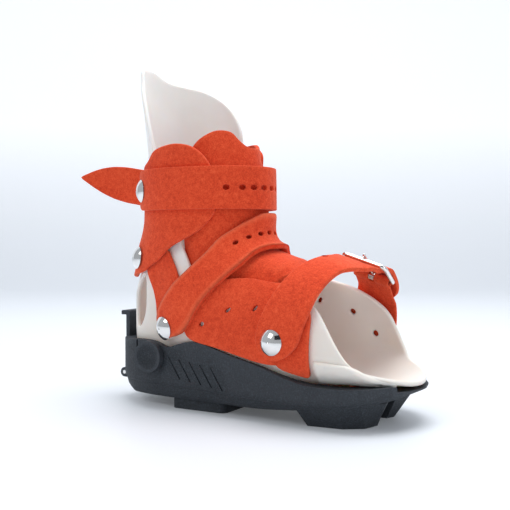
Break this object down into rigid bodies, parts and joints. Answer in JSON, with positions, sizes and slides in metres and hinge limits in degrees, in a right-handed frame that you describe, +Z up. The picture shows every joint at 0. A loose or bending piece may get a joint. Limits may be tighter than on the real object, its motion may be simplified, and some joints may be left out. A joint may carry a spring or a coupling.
{
  "type": "ankle foot orthosis",
  "caption": "Child's moulded ankle foot orthosis with a rigid shell on a cleated sole tray, padded side panels, a tongue and buckled straps over ankle, instep and forefoot.",
  "frame": {"origin": "centre of the heel cleat's ground face", "axes": "+X from heel to toe, +Y across the foot from the side where the straps are riveted down to the side where they buckle, +Z up from the ground"},
  "size_m": [0.2204, 0.0811, 0.181],
  "materials": {
    "sole_black": "matt, fine grained",
    "shell_white": "satin, slightly translucent",
    "panel_orange": "brushed microfibre",
    "strap_orange": "brushed microfibre over foam",
    "steel_bright": "polished",
    "knob_black": "matt"
  },
  "bodies": {
    "boot": {"sole": "sole_black", "latch_pin": "steel_bright", "side_knobs": "knob_black", "shell": "shell_white", "tongue": "panel_orange", "cuff_panel_near": "panel_orange", "cuff_panel_far": "panel_orange", "heel_panel_near": "panel_orange", "heel_panel_far": "panel_orange", "base_panel_near": "panel_orange", "base_panel_far": "panel_orange", "ankle_strap": "strap_orange", "instep_strap": "strap_orange", "forefoot_strap": "strap_orange", "ankle_buckle_tab": "strap_orange", "instep_buckle_tab": "strap_orange", "forefoot_buckle_tab": "strap_orange", "rivet_caps": "steel_bright", "rivet_washers": "steel_bright"},
    "heel_latch": {"heel_latch": "knob_black"},
    "ankle_frame": {"ankle_buckle_frame": "steel_bright"},
    "ankle_prong": {"ankle_buckle_prong": "steel_bright"},
    "instep_frame": {"instep_buckle_frame": "steel_bright"},
    "instep_prong": {"instep_buckle_prong": "steel_bright"},
    "forefoot_frame": {"forefoot_buckle_frame": "steel_bright"},
    "forefoot_prong": {"forefoot_buckle_prong": "steel_bright"}
  },
  "joints": [
    {"name": "heel_latch_flex", "type": "hinge", "parent": "boot", "child": "heel_latch", "pos_m": [-0.0584, 0, 0.0134], "axis": [0, -1, 0], "range_deg": [0, 12]},
    {"name": "ankle_frame_tilt", "type": "hinge", "parent": "boot", "child": "ankle_frame", "pos_m": [-0.00617, 0.02925, 0.11213], "axis": [-0.0005, 0.0166, 0.9999], "range_deg": [0, 8]},
    {"name": "ankle_prong_lift", "type": "hinge", "parent": "ankle_frame", "child": "ankle_prong", "pos_m": [-0.00617, 0.02925, 0.11213], "axis": [-0.0005, 0.0166, 0.9999], "range_deg": [0, 6]},
    {"name": "instep_frame_tilt", "type": "hinge", "parent": "boot", "child": "instep_frame", "pos_m": [0.00434, 0.03282, 0.06703], "axis": [-0.7356, -0.0867, 0.6719], "range_deg": [0, 8]},
    {"name": "instep_prong_lift", "type": "hinge", "parent": "instep_frame", "child": "instep_prong", "pos_m": [0.00434, 0.03282, 0.06703], "axis": [-0.7356, -0.0867, 0.6719], "range_deg": [0, 6]},
    {"name": "forefoot_frame_tilt", "type": "hinge", "parent": "boot", "child": "forefoot_frame", "pos_m": [0.07162, 0.02631, 0.06741], "axis": [-0.9484, 0.1387, 0.2851], "range_deg": [0, 8]},
    {"name": "forefoot_prong_lift", "type": "hinge", "parent": "forefoot_frame", "child": "forefoot_prong", "pos_m": [0.07162, 0.02631, 0.06741], "axis": [-0.9484, 0.1387, 0.2851], "range_deg": [0, 6]}
  ]
}
